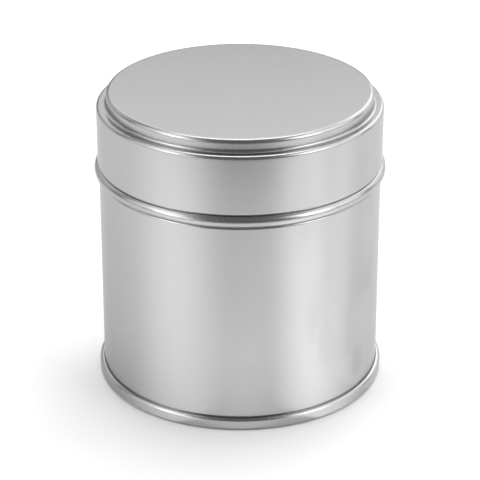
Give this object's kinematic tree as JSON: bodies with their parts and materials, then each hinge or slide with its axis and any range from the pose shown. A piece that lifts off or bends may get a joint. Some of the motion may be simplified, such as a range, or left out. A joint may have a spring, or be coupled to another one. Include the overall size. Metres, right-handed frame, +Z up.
{
  "type": "round slip-lid tin can",
  "caption": "Round plain metal tin for dry food or tea, shut with a stepped slip lid, with a rolled bead under the lid and a double seam round the foot.",
  "frame": {"origin": "centre of the circle that the bottom seam stands on, at the underside", "axes": "+Z up along the can's axis; the part is round, so X and Y are free"},
  "size_m": [0.0786, 0.0786, 0.082],
  "materials": {
    "satin_tinplate": "satin, unprinted tin-plated steel sheet"
  },
  "bodies": {
    "root": {"lid": "satin_tinplate", "body": "satin_tinplate", "base_end": "satin_tinplate"}
  },
  "joints": []
}
